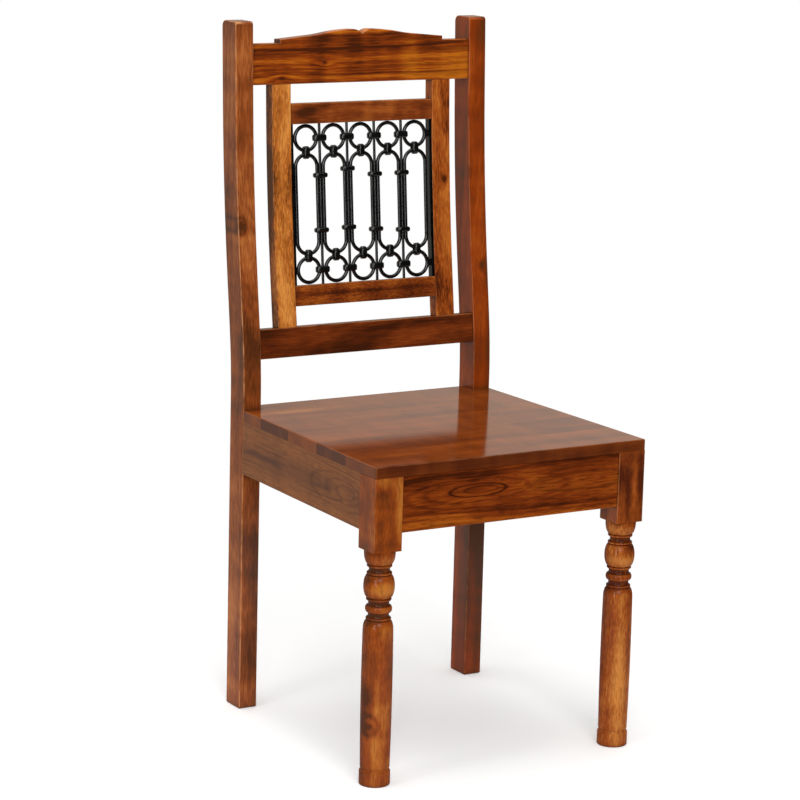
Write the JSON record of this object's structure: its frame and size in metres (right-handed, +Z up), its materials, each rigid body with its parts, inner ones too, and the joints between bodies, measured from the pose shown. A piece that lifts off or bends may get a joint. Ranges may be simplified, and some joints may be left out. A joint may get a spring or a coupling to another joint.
{
  "type": "wooden dining chair with iron back grille",
  "caption": "Lacquered wooden dining chair with a board seat, turned front legs, raked square posts, a notched crest rail and a black iron grille in its back.",
  "frame": {"origin": "on the floor, under the middle of the chair's outline", "axes": "+Z is up, the sitter faces -Y, +X is to the sitter's left; left and right in names are as seen from the front"},
  "size_m": [0.438, 0.4814, 1.006],
  "materials": {
    "post_wood": "glossy red-brown lacquer",
    "leg_wood": "glossy honey lacquer",
    "crest_wood": "glossy red-brown lacquer",
    "rail_wood": "glossy red-brown lacquer",
    "panel_wood": "glossy honey lacquer",
    "apron_wood": "glossy red-brown lacquer",
    "seat_wood": "glossy red-brown lacquer",
    "block_wood": "bare, planed",
    "grille_iron": "satin black",
    "screw_steel": "plain steel"
  },
  "bodies": {
    "root": {"back_stile_left": "panel_wood", "back_stile_right": "panel_wood", "corner_block_front_left": "block_wood", "corner_block_front_right": "block_wood", "corner_block_rear_left": "block_wood", "corner_block_rear_right": "block_wood", "corner_block_screws": "screw_steel", "crest_rail": "crest_wood", "front_apron": "apron_wood", "front_leg_left": "leg_wood", "front_leg_right": "leg_wood", "grille_bar_1": "grille_iron", "grille_bar_2": "grille_iron", "grille_bar_3": "grille_iron", "grille_bar_4": "grille_iron", "grille_clips": "grille_iron", "grille_loop_1": "grille_iron", "grille_loop_2": "grille_iron", "grille_loop_3": "grille_iron", "grille_loop_4": "grille_iron", "grille_loop_5": "grille_iron", "grille_loop_collars": "grille_iron", "grille_ring_collars": "grille_iron", "grille_ring_lower_1": "grille_iron", "grille_ring_lower_2": "grille_iron", "grille_ring_lower_3": "grille_iron", "grille_ring_lower_4": "grille_iron", "grille_ring_lower_5": "grille_iron", "grille_ring_lugs": "grille_iron", "grille_ring_upper_1": "grille_iron", "grille_ring_upper_2": "grille_iron", "grille_ring_upper_3": "grille_iron", "grille_ring_upper_4": "grille_iron", "grille_ring_upper_5": "grille_iron", "grille_strip_left": "grille_iron", "grille_strip_right": "grille_iron", "lower_back_rail": "rail_wood", "panel_rail_lower": "panel_wood", "panel_rail_upper": "panel_wood", "rear_apron": "apron_wood", "rear_post_left": "post_wood", "rear_post_right": "post_wood", "seat_board_1": "seat_wood", "seat_board_2": "seat_wood", "seat_board_3": "seat_wood", "seat_board_4": "seat_wood", "seat_board_5": "seat_wood", "seat_screws": "screw_steel", "side_apron_left": "apron_wood", "side_apron_right": "apron_wood"}
  },
  "joints": []
}
